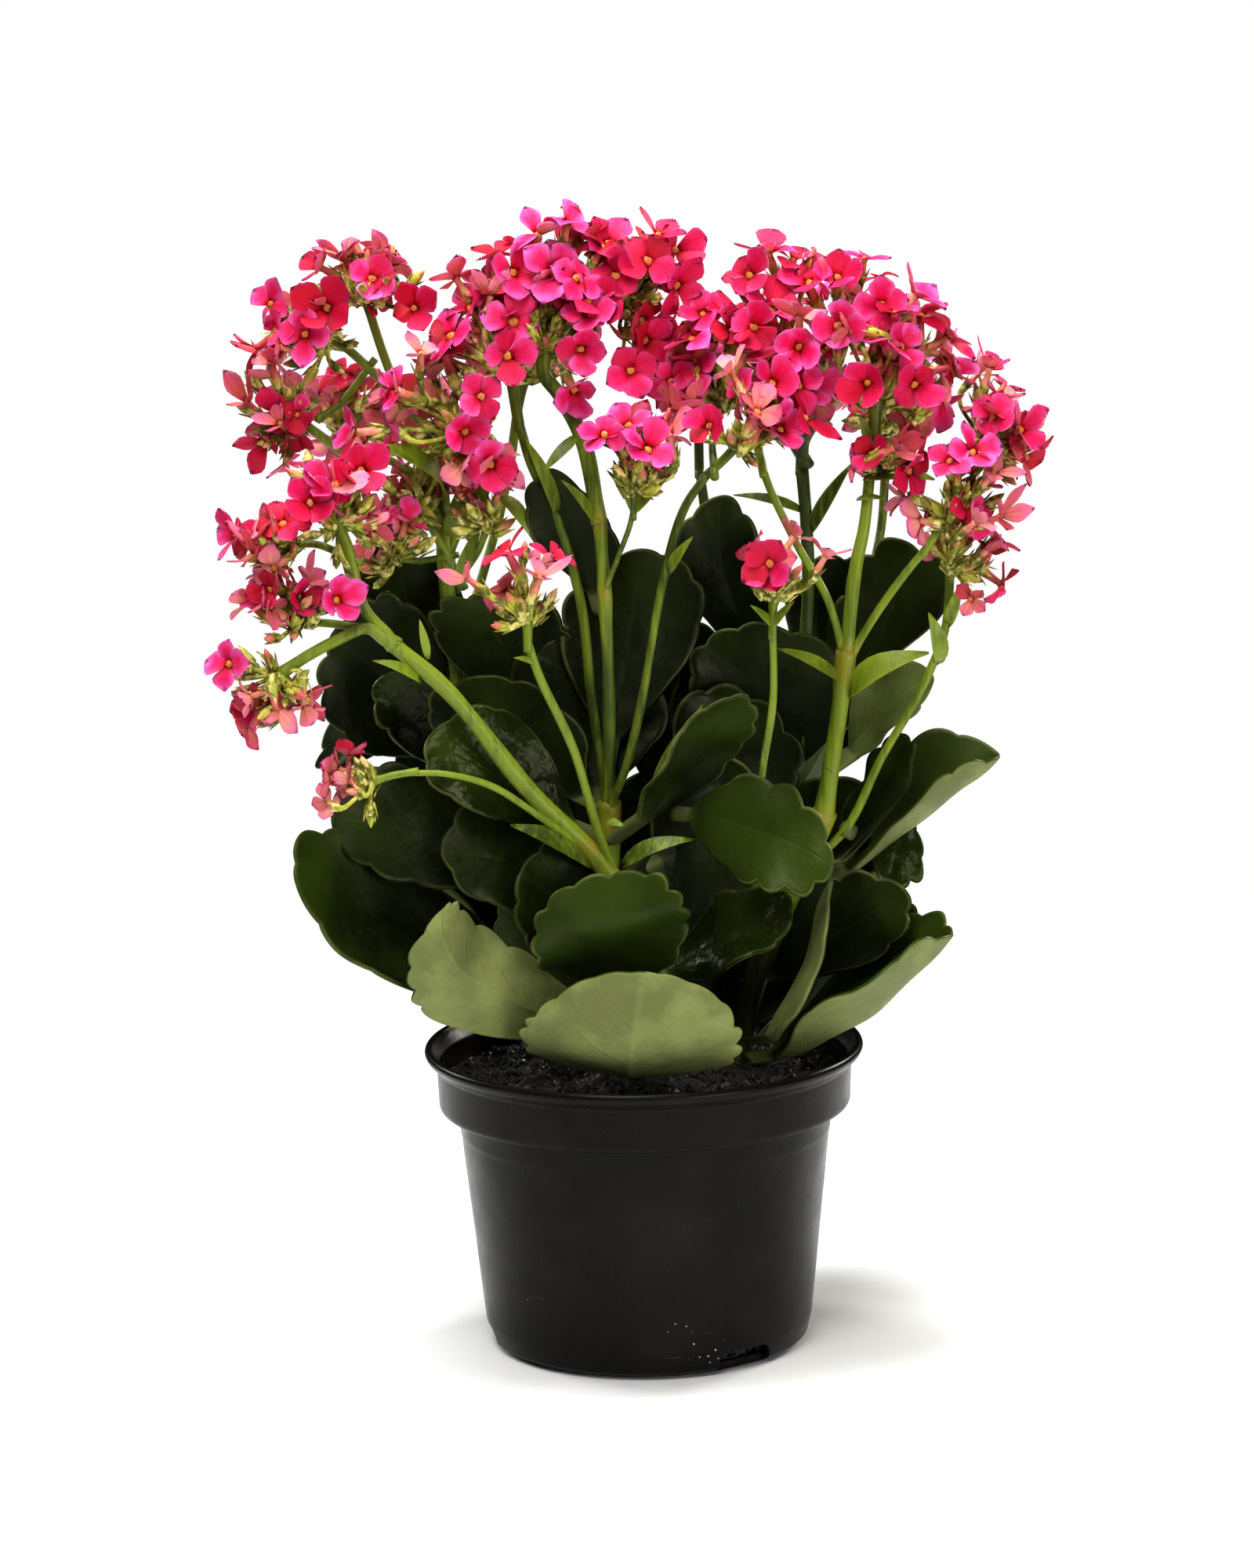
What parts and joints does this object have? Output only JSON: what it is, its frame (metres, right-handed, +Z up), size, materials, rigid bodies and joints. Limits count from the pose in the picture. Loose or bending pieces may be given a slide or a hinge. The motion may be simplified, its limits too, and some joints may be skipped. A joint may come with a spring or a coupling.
{
  "type": "potted kalanchoe",
  "caption": "Flowering succulent with scalloped fleshy leaves and branched heads of small four-petal flowers, growing in peat in a round tapered grow pot.",
  "frame": {"origin": "middle of the pot's base, on the surface it stands on", "axes": "+Z up, the pictured front faces -Y, +X to the right of that view"},
  "size_m": [0.2202, 0.139, 0.3089],
  "materials": {
    "pot": "black moulded polypropylene, semi-gloss, faintly brushed",
    "peat": "moist fibrous peat with pale grit, matt",
    "stem": "smooth waxy plant skin, satin",
    "leaf": "fleshy leaf, waxy and glossy above, matt olive below",
    "flower": "soft petals, satin, salmon below"
  },
  "bodies": {
    "root": {"flowers_back_centre": "flower", "flowers_back_crown": "flower", "flowers_back_left": "flower", "flowers_back_outer": "flower", "flowers_back_right": "flower", "flowers_centre_right": "flower", "flowers_crown": "flower", "flowers_crown_left": "flower", "flowers_front_centre": "flower", "flowers_front_left": "flower", "flowers_front_right": "flower", "flowers_inner_left": "flower", "flowers_left": "flower", "flowers_low_left": "flower", "flowers_low_right": "flower", "flowers_outer_right": "flower", "flowers_right": "flower", "flowers_right_mid": "flower", "flowers_upper_left": "flower", "leaf_back_high": "leaf", "leaf_back_left": "leaf", "leaf_back_low": "leaf", "leaf_back_outer": "leaf", "leaf_back_right": "leaf", "leaf_back_tall": "leaf", "leaf_centre_dark": "leaf", "leaf_centre_fold": "leaf", "leaf_centre_high": "leaf", "leaf_centre_tall": "leaf", "leaf_front_inner": "leaf", "leaf_front_low": "leaf", "leaf_front_shade": "leaf", "leaf_left_dark": "leaf", "leaf_left_far": "leaf", "leaf_left_gloss": "leaf", "leaf_left_high": "leaf", "leaf_left_inner": "leaf", "leaf_left_long": "leaf", "leaf_left_low": "leaf", "leaf_left_outer": "leaf", "leaf_left_scalloped": "leaf", "leaf_left_streak": "leaf", "leaf_left_tall": "leaf", "leaf_right_edge": "leaf", "leaf_right_gloss": "leaf", "leaf_right_lit": "leaf", "leaf_right_low": "leaf", "leaf_right_mid": "leaf", "leaf_right_outer": "leaf", "leaf_right_round": "leaf", "leaf_right_shade": "leaf", "leaf_right_small": "leaf", "leaf_right_tall": "leaf", "peat": "peat", "pot": "pot", "stem_back_left": "stem", "stem_back_right": "stem", "stem_centre": "stem", "stem_front_left": "stem", "stem_right": "stem"}
  },
  "joints": []
}
